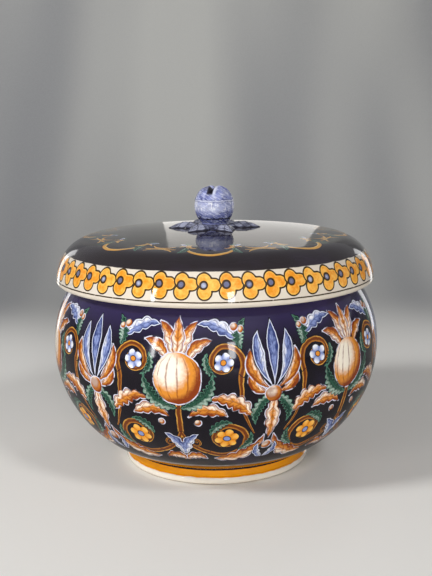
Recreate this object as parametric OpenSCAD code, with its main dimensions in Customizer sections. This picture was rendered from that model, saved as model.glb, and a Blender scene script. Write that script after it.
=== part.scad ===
// Round lidded candy jar of glazed earthenware: a globular bowl on a foot ring, and a low domed lid
// that drops into the bowl's mouth and lifts off by a fruit finial set in a ring of leaves.
// Millimetres, +Z up, origin at the centre of the foot ring where it meets the table.

/* [Bowl] */
// Diameter of the bowl at its belly
belly_d = 164; // [150:1:190]
// Height of the belly's widest line above the table
belly_z = 62; // [58:0.5:66]
// Radius of the wall's arc below the belly
lower_arc_r = 59; // [57:0.5:70]
// Radius of the wall's arc above the belly
upper_arc_r = 52; // [44:0.5:70]
// Thickness of the bowl's wall
bowl_wall = 4.5; // [3:0.25:7]
// Thickness of the bowl's floor at its middle
floor_t = 5; // [3.5:0.25:9]
// Radius of the dished inner face of the floor
floor_dish_r = 420; // [250:10:800]
// Height of the rim that the lid sits on
rim_z = 93; // [84:0.5:100]
// Height of the plain edge where the bowl's wall stops above the foot
base_edge_h = 0.8; // [0.4:0.1:2]
// How far that edge is set back from the wall
base_edge_step = 0.3; // [0.1:0.1:1]

/* [Foot] */
// Height of the foot ring
foot_h = 7.2; // [5.5:0.1:9]
// How far the foot ring's bead stands out past the bowl's lower edge
foot_spread = 1; // [0.2:0.1:2]
// Radius of the bead round the bottom of the foot ring
foot_bead_r = 2.2; // [1.5:0.1:3]
// How far the top of the foot ring draws in from the bead
foot_draw_in = 1.7; // [1.2:0.1:3]
// Width of the foot ring from bead to inner wall
foot_w = 6.5; // [5:0.25:10]

/* [Lid] */
// How far the lid's lip stands out past the bowl's mouth
lid_overhang = 14; // [11:0.5:20]
// How far the lid's side leans in just above the lip, in degrees
lip_turn = 7; // [4:0.5:12]
// Radius of the arc up the lid's side band
band_arc_r = 32.5; // [28:0.5:45]
// How far that arc has leaned in where the shoulder starts, in degrees
band_turn = 22; // [16:0.5:28]
// Radius of the lid's shoulder
shoulder_r = 19; // [14:0.5:24]
// How far the shoulder has leaned in where the dome starts, in degrees
shoulder_turn = 83; // [80:0.25:86]
// Thickness of the lid's wall
lid_wall = 4.5; // [3:0.25:6.5]
// Thickness of the ledge that rests on the rim
ledge_t = 4.5; // [3:0.25:6]
// Rounding of the lip's outer edge
lip_round = 1.8; // [1:0.1:3]
// Depth of the locating flange below the ledge
flange_h = 7.5; // [5:0.25:12]
// Width of the locating flange
flange_w = 4.2; // [3:0.2:6]
// Clearance between the flange and the bowl's mouth
flange_gap = 1.5; // [0.8:0.1:3]
// Gap left by the glaze between the ledge and the rim
seat_gap = 0.1; // [0.05:0.05:0.5]

/* [Finial] */
// Diameter of the fruit
fruit_d = 20.2; // [16:0.2:26]
// Height of the fruit
fruit_h = 18.6; // [15:0.2:24]
// Depth of the clefts between the lobes at the top of the fruit
cleft_h = 4; // [1:0.2:6]
// Width of a cleft where it opens
cleft_w = 3.2; // [2:0.2:5]
// Number of lobes at the top of the fruit
lobe_count = 4; // [3:1:6]
// Bearing of the first cleft, in degrees
cleft_turn = 253; // [0:1:360]
// Radius of the stem's top, under the fruit
stem_top_r = 6.4; // [5:0.2:7.2]
// Radius of the stem's flared foot on the lid
stem_foot_r = 7.4; // [6.6:0.2:9]
// Height of the stem above the crown of the lid
stem_h = 2.2; // [1.4:0.1:5]

/* [Leaves] */
// Length of a leaf
leaf_l = 15.6; // [12.6:0.2:20]
// Width of a leaf
leaf_w = 11.4; // [7:0.2:12]
// Height of a leaf's crown above the lid
leaf_crown = 3.2; // [1.8:0.1:4]
// Thickness of a leaf at its edge
leaf_edge = 0.9; // [0.4:0.1:1.4]
// Joint gap between a leaf, the lid and the stem
leaf_gap = 0.1; // [0.05:0.05:0.4]

/* [Hidden] */
$fn = 128;

// Bowl: the two arcs of the wall meet at the belly, where both stand upright.
belly_r = belly_d / 2;
lower_c = belly_r - lower_arc_r;
upper_c = belly_r - upper_arc_r;
wall_start_z = foot_h + base_edge_h;
floor_z = foot_h + floor_t;
base_r = lower_c + chord(lower_arc_r, belly_z - wall_start_z) - base_edge_step;
mouth_r = upper_c + chord(upper_arc_r - bowl_wall, rim_z - belly_z);

// Foot ring: a sloping side down to a rounded bead.
foot_r = base_r + foot_spread;
foot_in_r = foot_r - foot_w;
foot_top_r = foot_r - foot_draw_in;

// Lid: the arcs of lip, side band, shoulder and dome follow one another without a corner.
lid_r = mouth_r + lid_overhang;
ledge_z = rim_z + seat_gap;
ledge_top_z = ledge_z + ledge_t;
lip_c = [lid_r - lip_round, ledge_z + lip_round];
band_c = lip_c - (band_arc_r - lip_round) * heading(lip_turn);
shoulder_c = band_c + (band_arc_r - shoulder_r) * heading(band_turn);
dome_start = shoulder_c + shoulder_r * heading(shoulder_turn);
dome_r = dome_start[0] / cos(shoulder_turn);
dome_c = dome_start[1] - dome_r * sin(shoulder_turn);
crown_z = dome_c + dome_r;
flange_out_r = mouth_r - flange_gap;
flange_in_r = flange_out_r - flange_w;

// Finial: stem on the crown, fruit on the stem, leaves round the stem.
fruit_r = fruit_d / 2;
fruit_z = crown_z + stem_h;
leaf_start_r = stem_foot_r + leaf_gap;
stem_foot_steps = 4;
leaf_steps = 14;
leaf_columns = 12;
leaf_bearings = [0, 60, 121, 180, 236, 292];
fruit_rings = 26;
fruit_sides = 60;
fruit_squareness = 0.78;
cleft_start = 0.58;
arc_step = 3;
dome_step = 0.7;

cobalt = "#17153a";
ochre = "#e39a1f";
cream = "#f1e6d6";
fruit_blue = "#6f7fb6";
leaf_blue = "#3c4370";

// Half the width of a circle of radius r, at a height h from its centre.
function chord(r, h) = sqrt(r * r - h * h);

// Unit vector in the profile plane, turned up from the horizontal.
function heading(angle) = [cos(angle), sin(angle)];

// Height of the lid's dome at a distance r from the axis.
function dome_z(r) = dome_c + chord(dome_r, r);

// Points along an arc of the profile, from angle a0 to angle a1, no more than step degrees apart.
function arc(c, r, a0, a1, step = arc_step) =
    let (n = ceil((a1 - a0) / step))
    [for (i = [0 : n]) c + r * heading(a0 + (a1 - a0) * i / n)];

// Points up the lid's side and over its dome to the axis, drawn in by inset, from angle a0 on the band.
function lid_points(inset, a0) = concat(
    arc(band_c, band_arc_r - inset, a0, band_turn),
    arc(shoulder_c, shoulder_r - inset, band_turn + arc_step, shoulder_turn),
    arc([0, dome_c], dome_r - inset, shoulder_turn + dome_step, 90, dome_step)
);

// The profile of a round wall from the axis out to one arc, between two heights.
module arc_slab(c, r, z0, z1) {
    intersection() {
        union() {
            translate(c) circle(r = r);
            translate([0, z0]) square([c[0], z1 - z0]);
        }
        translate([0, z0]) square([c[0] + r + 1, z1 - z0]);
    }
}

// The bowl's profile, drawn in from the outside by inset, from height z0 to height z1.
module bowl_profile(inset, z0, z1) {
    arc_slab([lower_c, belly_z], lower_arc_r - inset, z0, belly_z);
    arc_slab([upper_c, belly_z], upper_arc_r - inset, belly_z, z1);
}

module bowl() {
    color(cobalt) rotate_extrude() difference() {
        union() {
            translate([0, foot_h]) square([base_r, base_edge_h]);
            bowl_profile(0, wall_start_z, rim_z);
        }
        intersection() {
            bowl_profile(bowl_wall, floor_z, rim_z + 1);
            translate([0, floor_z + floor_dish_r]) circle(r = floor_dish_r);
        }
    }
}

module foot_ring() {
    bead_c = foot_r - foot_bead_r;
    color(ochre) rotate_extrude() {
        polygon([
            [foot_in_r, 0], [bead_c, 0], [foot_r, foot_bead_r], [foot_top_r, foot_h], [foot_in_r, foot_h]
        ]);
        translate([bead_c, foot_bead_r]) circle(r = foot_bead_r);
    }
}

module lid_shell() {
    hollow_start = asin((ledge_top_z - band_c[1]) / (band_arc_r - lid_wall));
    color(cobalt) rotate_extrude() difference() {
        polygon(concat(
            [[0, ledge_z]],
            arc(lip_c, lip_round, -90, lip_turn - arc_step),
            lid_points(0, lip_turn)
        ));
        polygon(concat([[0, ledge_top_z]], lid_points(lid_wall, hollow_start)));
        translate([0, ledge_z - 1]) square([flange_in_r, ledge_t + 2]);
    }
}

module locating_flange() {
    color(cream) rotate_extrude() {
        translate([flange_in_r, ledge_z - flange_h + flange_w / 2])
            square([flange_w, flange_h - flange_w / 2]);
        translate([flange_in_r + flange_w / 2, ledge_z - flange_h + flange_w / 2]) circle(d = flange_w);
    }
}

// A waisted neck whose foot is cut to sit on the dome.
module finial_stem() {
    color(leaf_blue) rotate_extrude() polygon(concat(
        [[stem_top_r, fruit_z], [0, fruit_z]],
        [for (i = [0 : stem_foot_steps]) let (r = stem_foot_r * i / stem_foot_steps) [r, dome_z(r)]],
        [[stem_foot_r, crown_z], [stem_top_r, crown_z + stem_h / 2]]
    ));
}

// Radius and height of the fruit's side, from its seat on the stem (0) over its shoulder to its top (1).
function fruit_side(t) =
    let (
        seat_angle = -acos(pow(stem_top_r / fruit_r, 1 / fruit_squareness)),
        angle = seat_angle + t * (90 - seat_angle),
        low = -fruit_r * sin(seat_angle),
        rise = angle < 0 ? fruit_r : fruit_h - low
    )
    [fruit_r * pow(cos(angle), fruit_squareness), low + rise * sin(angle)];

// Angle from a bearing to the cleft nearest to it.
function cleft_offset(angle) =
    let (pitch = 360 / lobe_count, turn = (angle - cleft_turn + 720) % pitch)
    min(turn, pitch - turn);

// How deep the fruit is cut at t up its side, at a bearing: a notch that deepens towards the top.
function cleft_at(t, angle) =
    let (
        rise = max(0, (t - cleft_start) / (1 - cleft_start)),
        across = fruit_side(t)[0] * sin(cleft_offset(angle)),
        depth = max(0, 1 - 2 * across / cleft_w)
    )
    cleft_h * sqrt(rise) * depth;

module finial_fruit() {
    points = [
        for (i = [0 : fruit_rings - 1], j = [0 : fruit_sides - 1])
            let (
                t = i / fruit_rings,
                angle = j * 360 / fruit_sides,
                side = fruit_side(t),
                drop = cleft_at(t, angle)
            )
            [side[0] * cos(angle), side[0] * sin(angle), fruit_z + side[1] - drop]
    ];
    top = [0, 0, fruit_z + fruit_h - cleft_h];
    last = (fruit_rings - 1) * fruit_sides;
    sides = [
        for (i = [0 : fruit_rings - 2], j = [0 : fruit_sides - 1])
            let (a = i * fruit_sides + j, b = i * fruit_sides + (j + 1) % fruit_sides)
            each [[a, a + fruit_sides, b], [b, a + fruit_sides, b + fruit_sides]]
    ];
    cap = [
        for (j = [0 : fruit_sides - 1])
            [last + j, len(points), last + (j + 1) % fruit_sides]
    ];
    seat = [[for (j = [0 : fruit_sides - 1]) j]];
    color(fruit_blue) polyhedron(concat(points, [top]), concat(sides, cap, seat));
}

// Half the width of a leaf at a share s of its length: a rounded base and a drawn-out tip.
function leaf_half_w(s) = leaf_w / 2 * (0.42 + 0.58 * sin(180 * min(1, s / 0.8))) * sqrt(1 - pow(s, 3)) + 0.1;

// Height of a leaf above the lid, at s along it and u across it: arched, with a groove for the midrib.
function leaf_top(s, u) =
    let (arch = sin(180 * (0.18 + 0.82 * s)), across = 1 - u * u, midrib = 0.3 * max(0, 1 - abs(u) * 4))
    leaf_edge + (leaf_crown - leaf_edge) * arch * across * (1 - midrib);

// Two triangles that fill a four-sided face.
function quad(a, b, c, d) = [[a, b, c], [a, c, d]];

// Number of the point in column j, at step i from base to tip, on the leaf's under (0) or upper (1) face.
function leaf_at(i, face, j) = (2 * i + face) * (leaf_columns + 1) + j;

// One leaf, bedded on the dome: a row of points under it and a row over it at each step.
module leaf(place) {
    n = leaf_columns;
    last = leaf_steps;
    points = [
        for (i = [0 : last], face = [0, 1], j = [0 : n])
            let (
                s = i / last,
                u = 2 * j / n - 1,
                x = leaf_start_r + leaf_l * s,
                y = u * leaf_half_w(s),
                bed = dome_z(norm([x, y])) + leaf_gap
            )
            [x, y, bed + face * leaf_top(s, u)]
    ];
    under = [
        for (i = [0 : last - 1], j = [0 : n - 1])
            each quad(leaf_at(i, 0, j), leaf_at(i + 1, 0, j), leaf_at(i + 1, 0, j + 1), leaf_at(i, 0, j + 1))
    ];
    upper = [
        for (i = [0 : last - 1], j = [0 : n - 1])
            each quad(leaf_at(i, 1, j), leaf_at(i, 1, j + 1), leaf_at(i + 1, 1, j + 1), leaf_at(i + 1, 1, j))
    ];
    right_edge = [
        for (i = [0 : last - 1])
            each quad(leaf_at(i, 0, 0), leaf_at(i, 1, 0), leaf_at(i + 1, 1, 0), leaf_at(i + 1, 0, 0))
    ];
    left_edge = [
        for (i = [0 : last - 1])
            each quad(leaf_at(i, 0, n), leaf_at(i + 1, 0, n), leaf_at(i + 1, 1, n), leaf_at(i, 1, n))
    ];
    base = [
        for (j = [0 : n - 1])
            each quad(leaf_at(0, 0, j + 1), leaf_at(0, 1, j + 1), leaf_at(0, 1, j), leaf_at(0, 0, j))
    ];
    tip = [
        for (j = [0 : n - 1])
            each quad(leaf_at(last, 0, j), leaf_at(last, 1, j), leaf_at(last, 1, j + 1), leaf_at(last, 0, j + 1))
    ];
    color(leaf_blue) rotate(leaf_bearings[place - 1])
        polyhedron(points, concat(under, upper, right_edge, left_edge, base, tip));
}

bowl();
foot_ring();
lid_shell();
locating_flange();
finial_stem();
finial_fruit();
leaf(1);  // leaf_1
leaf(2);  // leaf_2
leaf(3);  // leaf_3
leaf(4);  // leaf_4
leaf(5);  // leaf_5
leaf(6);  // leaf_6
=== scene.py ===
"""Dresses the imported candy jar: lathed bowl, foot and lid, a modelled finial, painted glazes,
a stage and a camera.
"""
import math
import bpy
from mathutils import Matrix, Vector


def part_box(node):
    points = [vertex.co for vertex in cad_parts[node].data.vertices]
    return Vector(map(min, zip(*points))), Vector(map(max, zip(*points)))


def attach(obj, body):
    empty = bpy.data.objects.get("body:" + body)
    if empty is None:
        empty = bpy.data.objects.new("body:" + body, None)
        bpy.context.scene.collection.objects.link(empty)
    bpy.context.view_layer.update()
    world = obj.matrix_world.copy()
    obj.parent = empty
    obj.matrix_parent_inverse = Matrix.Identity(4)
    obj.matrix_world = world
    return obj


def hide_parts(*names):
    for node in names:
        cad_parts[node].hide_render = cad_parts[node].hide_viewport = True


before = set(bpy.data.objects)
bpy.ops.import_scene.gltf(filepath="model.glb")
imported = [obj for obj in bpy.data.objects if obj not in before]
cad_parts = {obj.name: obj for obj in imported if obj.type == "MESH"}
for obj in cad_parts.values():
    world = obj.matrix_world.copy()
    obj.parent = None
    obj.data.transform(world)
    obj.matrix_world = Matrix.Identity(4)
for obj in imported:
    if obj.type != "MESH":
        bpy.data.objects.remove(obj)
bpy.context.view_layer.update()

from types import SimpleNamespace

import bmesh
import bpy
from bpy.props import FloatProperty, FloatVectorProperty, IntProperty, PointerProperty
from mathutils import Matrix, Vector

bl_info = {
    "name": "Candy jar",
    "version": (1, 0, 0),
    "blender": (4, 5, 0),
    "location": "View3D > Sidebar > Candy Jar",
    "description": "Models and paints a lidded candy jar on its packed frame",
    "category": "Object",
}

MM = 0.001
BOWL_LOW, BOWL_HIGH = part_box("bowl")
FOOT_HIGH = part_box("foot_ring")[1]
LID_LOW, LID_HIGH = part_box("lid_shell")
FLANGE_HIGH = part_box("locating_flange")[1]
FRUIT_LOW, FRUIT_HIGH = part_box("finial_fruit")
LEAF_LOW, LEAF_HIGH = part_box("leaf_1")
# Degrees round the jar's axis at which the six leaves lie
LEAF_BEARINGS = (0, 60, 121, 180, 236, 292)


def linear(code):
    """The linear colour, with alpha, of a six-digit sRGB code."""
    shares = [int(code[i:i + 2], 16) / 255 for i in (0, 2, 4)]
    return tuple(c / 12.92 if c <= 0.04045 else ((c + 0.055) / 1.055) ** 2.4 for c in shares) + (1.0,)


def length(name, description, default):
    """A property that holds a length in metres."""
    return FloatProperty(
        name=name, description=description, default=default, precision=5, subtype="DISTANCE", unit="LENGTH"
    )


def turn(name, description, degrees):
    """A property that holds an angle."""
    return FloatProperty(
        name=name, description=description, default=math.radians(degrees), subtype="ANGLE", unit="ROTATION"
    )


def glaze(name, description, code):
    """A property that holds a glaze or paint colour."""
    return FloatVectorProperty(
        name=name, description=description, default=linear(code), size=4, min=0, max=1, subtype="COLOR"
    )


def watts(name, description, default):
    """A property that holds a lamp's power."""
    return FloatProperty(
        name=name, description=description, default=default, min=0, precision=3,
        subtype="POWER", unit="POWER"
    )


class JarBowlSizes(bpy.types.PropertyGroup):
    """Sizes of the bowl and the foot ring under it."""

    belly_r: length("Belly radius", "Radius of the bowl at its widest", BOWL_HIGH[0])
    belly_z: length("Belly height", "Height of the widest part", 0.062)
    lower_arc: length("Lower arc", "Radius of the wall's curve below the belly", 0.059)
    upper_arc: length("Upper arc", "Radius of the wall's curve above the belly", 0.052)
    wall: length("Wall", "Thickness of the bowl's wall", 0.0045)
    base_edge: length("Base edge", "Height of the narrow step between foot and wall", 0.0008)
    base_step: length("Base step", "How far the wall stands out over that step", 0.0003)
    floor: length("Floor", "Thickness of the bowl's floor at the middle", 0.005)
    floor_dish: length("Floor dish", "Radius of the floor's hollow", 0.42)
    rim_round: length("Rim rounding", "Softening of the rim's two edges", 0.0019)
    foot_bead: length("Foot bead", "Radius of the round bead at the foot's base", 0.0022)
    foot_width: length("Foot width", "Width of the foot ring across its base", 0.0065)
    foot_draw: length("Foot draw", "How much narrower the foot is at its top", 0.0017)
    steps: IntProperty(name="Steps", description="Faces round the bowl", default=192, min=48, max=384)


class JarLidSizes(bpy.types.PropertyGroup):
    """Sizes of the lid."""

    lip_round: length("Lip rounding", "Radius of the rolled lip", 0.0018)
    lip_turn: turn("Lip turn", "Angle on the side at which the lip ends", 7)
    band_arc: length("Band arc", "Radius of the curve of the painted band", 0.0325)
    band_turn: turn("Band turn", "Angle at which the band passes into the shoulder", 22)
    shoulder: length("Shoulder", "Radius of the shoulder", 0.019)
    shoulder_turn: turn("Shoulder turn", "Angle at which the shoulder passes into the dome", 83)
    wall: length("Wall", "Thickness of the lid's wall", 0.0045)
    flange_width: length("Flange width", "Width of the locating flange under the lid", 0.0042)
    steps: IntProperty(name="Steps", description="Faces round the lid", default=192, min=48, max=384)


class JarFinialSizes(bpy.types.PropertyGroup):
    """Sizes of the fruit and the leaves on the lid."""

    seat_r: length("Seat radius", "Radius of the fruit where it meets its neck", 0.0064)
    cleft: length("Cleft", "Depth of the clefts in the fruit's crown", 0.0032)
    cleft_turn: turn("Cleft bearing", "Bearing of the first cleft", 253)
    leaf_crown: length("Leaf crown", "Height of a leaf over the lid", 0.0031)


class JarColours(bpy.types.PropertyGroup):
    """Glaze and paint colours."""

    ground: glaze("Ground", "Dark cobalt ground of the bowl", "120c16")
    # Also a painted sheen: the ground lightens towards the top of the bowl
    ground_thin: glaze("Thin ground", "Where the bowl's ground has run thin", "352c56")
    dome: glaze("Dome", "Near-black ground of the lid", "292325")
    dome_thin: glaze("Thin dome", "Where the lid's ground has run thin", "332c38")
    cream: glaze("Cream", "White tin glaze of band, lip and inside", "e1d6c6")
    ivory: glaze("Ivory", "Warm glaze in the hollows of the white", "e2cfae")
    foot_white: glaze("Foot white", "White glaze of the foot's bead", "fdf4e6")
    biscuit: glaze("Biscuit", "Bare clay of the foot's face", "c9a478")
    ochre: glaze("Ochre", "Foot ring", "fba200")
    # Also the darker band along the foot's top edge
    ochre_deep: glaze("Deep ochre", "Foot ring where the glaze pools", "c8780f")
    scroll_core: glaze("Scroll core", "Brown middle of the scrolls", "6e330f")
    scroll_edge: glaze("Scroll edge", "Gold edge of the scrolls", "dfa544")
    scroll_shade: glaze("Scroll shade", "Shaded edge of the scrolls", "c27a1e")
    gilt_light: glaze("Gilt light", "Lit edge of the lid's thin gold scrolls", "f8d694")
    amber_light: glaze("Amber light", "Lit side of the amber leaves and fruits", "fff4e2")
    amber: glaze("Amber", "Body of the amber leaves and fruits", "de8e30")
    amber_deep: glaze("Deep amber", "Shaded side of the amber leaves and fruits", "863711")
    amber_rim: glaze("Amber rim", "Brushed edge of the amber leaves", "8f4416")
    green_light: glaze("Green light", "Lit side of the green leaves", "b4cabb")
    green: glaze("Green", "Body of the green leaves", "2a5744")
    green_deep: glaze("Deep green", "Shaded side of the green leaves", "0f2b24")
    green_rim: glaze("Green rim", "Brushed edge of the green leaves", "4f7f69")
    blue_light: glaze("Blue light", "Lit side of the blue leaves", "f6f6fb")
    blue: glaze("Blue", "Body of the blue leaves", "8a99cc")
    blue_deep: glaze("Deep blue", "Shaded side of the blue leaves", "2a3870")
    blue_rim: glaze("Blue rim", "Brushed edge of the blue leaves", "d9ddef")
    outline_pale: glaze("Pale outline", "Thin pale line round the amber paint", "dcdcec")
    outline_dark: glaze("Dark outline", "Thin dark line round the other paint", "0d0a1c")
    floret: glaze("Floret", "Petals of the border's florets", "f0951c")
    floret_light: glaze("Floret light", "Inner rim of the florets' petals", "ffc65c")
    floret_line: glaze("Floret line", "Outline of the florets", "3d2c10")
    floret_eye: glaze("Floret eye", "Dot at each floret's heart", "6a6c8a")
    fruit: glaze("Fruit", "Brushed blue of the finial's fruit", "8d95cb")
    fruit_deep: glaze("Deep fruit", "Darker brush strokes on the fruit", "343a78")
    # Also the painted highlights on the fruit
    fruit_light: glaze("Fruit light", "Pale brush strokes on the fruit", "dde1f3")
    slate: glaze("Slate", "Leaves round the fruit", "5e6078")
    # Also painted shade along the leaves' edges and in the fruit's cleft
    slate_deep: glaze("Deep slate", "Hollows and edges of those leaves", "25232f")
    # Painted reflection: pale streaks on the faces of the leaves
    slate_light: glaze("Slate light", "Pale streaks on those leaves", "b2b5ca")


class JarStage(bpy.types.PropertyGroup):
    """The camera, the paper, the room and the lamps."""

    camera_place: FloatVectorProperty(
        name="Camera place", description="Where the camera stands", default=(0.00038, -0.467, 0.1755),
        subtype="TRANSLATION", unit="LENGTH"
    )
    camera_tilt: turn("Camera tilt", "How far the camera looks down", 10.7)
    camera_roll: turn("Camera roll", "How far the camera leans", -0.7)
    focal: FloatProperty(
        name="Focal length", description="In mm, on a frame 36 mm high", default=58.1, min=10,
        subtype="DISTANCE_CAMERA", unit="CAMERA"
    )
    floor: glaze("Floor", "Paper under the jar", "f3f1ec")
    # Painted shade on the floor, seen only where the glaze mirrors it
    floor_dim: FloatProperty(
        name="Floor dimming", description="How much darker the floor is where the glaze mirrors it",
        default=0.5, min=0, max=1, subtype="FACTOR"
    )
    # The backdrop greys are painted light and shade, in soft bands
    backdrop_pale: glaze("Pale backdrop", "Paper behind the jar, lighter bands", "c6c6c2")
    backdrop_dark: glaze("Dark backdrop", "Paper behind the jar, darker bands", "959699")
    band_shift: length("Band shift", "How far the paper's light and dark bands lie to the left", 0.27)
    backdrop: length("Backdrop distance", "How far the paper rises behind the jar", 0.7)
    backdrop_top: length("Backdrop height", "How high the paper rises", 0.38)
    sweep: length("Sweep", "Radius of the paper's bend between floor and backdrop", 0.34)
    room_low: glaze("Low room", "Room round the stage, at eye height", "a8a8aa")
    room_high: glaze("High room", "Room round the stage, overhead", "86868c")
    room_glow: glaze("Room glow", "Soft light above and before the jar", "ececf4")
    left_lamp: watts("Left lamp", "Power of the soft lamp on the left", 5.4)
    right_lamp: watts("Right lamp", "Power of the soft lamp on the right", 2.9)
    low_lamp: watts("Low lamp", "Power of the soft lamp low in front", 1.9)
    rear_lamp: watts("Rear lamp", "Power of the soft lamp behind the jar", 0.3)
    window_lamp: watts("Window lamps", "Power of each tall lamp in front", 1.8)
    back_lamp: watts("Back panel", "Power of the panel that the lid mirrors", 0.095)
    side_strip: watts("Side strips", "Power of each strip that an edge mirrors", 0.08)


class JarSettings(bpy.types.PropertyGroup):
    """All that a user may change on the jar."""

    bowl: PointerProperty(type=JarBowlSizes)
    lid: PointerProperty(type=JarLidSizes)
    finial: PointerProperty(type=JarFinialSizes)
    colours: PointerProperty(type=JarColours)
    stage: PointerProperty(type=JarStage)


# Shader nodes

def arithmetic(operation, flipped=False):
    """A method that adds a math node to a wire; flipped puts the wire after the other value."""
    def method(self, *other):
        given = (*other, self) if flipped else (self, *other)
        return self.graph.math(operation, *given)

    return method


class Wire:
    """An output of a node, whose arithmetic adds the next node."""

    def __init__(self, graph, socket):
        self.graph = graph
        self.socket = socket

    __add__ = arithmetic("ADD")
    __sub__ = arithmetic("SUBTRACT")
    __rsub__ = arithmetic("SUBTRACT", True)
    __mul__ = arithmetic("MULTIPLY")
    __truediv__ = arithmetic("DIVIDE")
    __pow__ = arithmetic("POWER")
    __abs__ = arithmetic("ABSOLUTE")


class Graph:
    """Adds nodes to a tree in the order in which they read each other."""

    def __init__(self, tree):
        self.tree = tree

    def node(self, kind, given=(), **settings):
        """Adds a node; wires are linked to its inputs, by number or label, and plain values set on them."""
        made = self.tree.nodes.new(kind)
        for name, value in settings.items():
            setattr(made, name, value)
        for label, value in dict(given).items():
            socket = made.inputs[label]
            if isinstance(value, Wire):
                self.tree.links.new(value.socket, socket)
            else:
                socket.default_value = value
        return made

    def wire(self, kind, given=(), output=0, **settings):
        """Adds a node and returns one of its outputs."""
        return Wire(self, self.node(kind, given, **settings).outputs[output])

    def math(self, operation, *values):
        return self.wire("ShaderNodeMath", enumerate(values), operation=operation)

    def clamp(self, value, low=0.0, high=1.0):
        return self.wire("ShaderNodeClamp", enumerate((value, low, high)))

    def ease(self, value, low, high):
        """A soft step from 0 at low to 1 at high."""
        given = enumerate((value, low, high))
        return self.wire("ShaderNodeMapRange", given, interpolation_type="SMOOTHSTEP")

    def mix(self, share, first, second):
        """The first colour where share is 0, the second where it is 1."""
        return self.wire("ShaderNodeMix", {0: share, 6: first, 7: second}, 2, data_type="RGBA")

    def split(self, vector):
        made = self.node("ShaderNodeSeparateXYZ", {0: vector})
        return [Wire(self, socket) for socket in made.outputs]

    def stack(self, x, y, z):
        return self.wire("ShaderNodeCombineXYZ", enumerate((x, y, z)))

    def noise(self, vector, scale, detail=2.0, roughness=0.5, output="Fac"):
        given = {"Vector": vector, "Scale": scale, "Detail": detail, "Roughness": roughness}
        return self.wire("ShaderNodeTexNoise", given, output)

    def scatter(self, number):
        """A fixed random share for each whole number."""
        return self.wire("ShaderNodeTexWhiteNoise", {"W": number}, "Value", noise_dimensions="1D")

    def use(self, effect, given):
        """Places a node group, feeds it what it takes of the given and returns its outputs by label."""
        takes = [socket.name for socket in effect.interface.items_tree if socket.in_out == "INPUT"]
        taken = {label: value for label, value in given.items() if label in takes}
        made = self.node("ShaderNodeGroup", taken, node_tree=effect)
        return {socket.name: Wire(self, socket) for socket in made.outputs}


SOCKETS = {"value": "NodeSocketFloat", "colour": "NodeSocketColor", "vector": "NodeSocketVector"}


def sockets(kind, *labels):
    """Sockets of one kind, by label."""
    return {label: kind for label in labels}


def start_effect(name, takes, gives):
    """Starts a node group and returns its graph, its inputs by name and a function that ends it."""
    tree = bpy.data.node_groups.new(name, "ShaderNodeTree")
    for way, wanted in (("INPUT", takes), ("OUTPUT", gives)):
        for label, kind in wanted.items():
            tree.interface.new_socket(label, in_out=way, socket_type=SOCKETS[kind])
    graph = Graph(tree)
    entry = graph.node("NodeGroupInput")
    wires = {label: Wire(graph, entry.outputs[label]) for label in takes}
    given = SimpleNamespace(**{label.lower().replace(" ", "_"): wires[label] for label in takes})

    def end(*results):
        graph.node("NodeGroupOutput", enumerate(results))
        return tree

    return graph, given, end


def shared(maker):
    """The node group that a function lays out: named after the function, and made once."""
    name = maker.__name__.replace("_", " ").capitalize()
    return bpy.data.node_groups.get(name) or maker(name)


def start_shape(name, *sizes):
    """Starts a painted shape: how far a point lies inside its edge, across it and along it."""
    takes = sockets("value", "X", "Y", "Centre X", "Centre Y", "Radius", *sizes)
    return start_effect(name, takes, sockets("value", "Edge", "Across", "Along"))


def start_brush(name, tints, *sizes):
    """Starts a brush, which ends by laying its paint and a line round it over what is there."""
    takes = sockets("colour", "Under", *tints, "Outline")
    takes.update(sockets("value", "Edge", "Across", *sizes, "Grain", "Press"))
    g, given, end = start_effect(name, takes, sockets("colour", "Paint"))

    def lay(paint, line):
        under = g.mix(line, given.under, given.outline)
        return end(g.mix(g.ease(given.edge, -0.06, 0.06), under, paint))

    return g, given, lay


def polar(g, given):
    """Distance and angle from a motif's centre."""
    x = given.x - given.centre_x
    y = given.y - given.centre_y
    return g.math("SQRT", x * x + y * y), g.math("ARCTAN2", y, x)


def on_arc(g, given):
    """Where a point lies on an arc: how far along it, beside it and from its ends."""
    reach, angle = polar(g, given)
    half = given.sweep * 0.5
    swung = g.math("WRAP", angle - given.start - half, math.pi, -math.pi)
    share = (swung + half) / given.sweep
    along = g.clamp(share)
    offset = (reach - given.radius) * g.math("SIGN", given.sweep)
    ends = g.math("MINIMUM", share, 1.0 - share) * given.radius * abs(given.sweep)
    return along, offset, ends


def painted_leaf(name):
    """A leaf along an arc, with a lobed edge."""
    g, given, end = start_shape(name, "Start", "Sweep", "Width", "Lobes", "Depth", "Swell")
    along, offset, ends = on_arc(g, given)
    body = g.math("SINE", (along ** given.swell) * math.pi)
    tooth = abs(g.math("SINE", along * given.lobes * math.pi))
    width = given.width * body * (1.0 - given.depth * (1.0 - tooth))
    edge = g.math("MINIMUM", width - abs(offset), ends)
    across = g.clamp(offset / g.math("MAXIMUM", width, 0.05), -1.0, 1.0)
    return end(edge, across, along)


def painted_stroke(name):
    """A tapering line along an arc."""
    g, given, end = start_shape(name, "Start", "Sweep", "Width", "End width")
    along, offset, ends = on_arc(g, given)
    width = given.width + (given.end_width - given.width) * along
    edge = g.math("MINIMUM", width - abs(offset), ends + width)
    return end(edge, g.clamp(offset / width, -1.0, 1.0), along)


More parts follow.
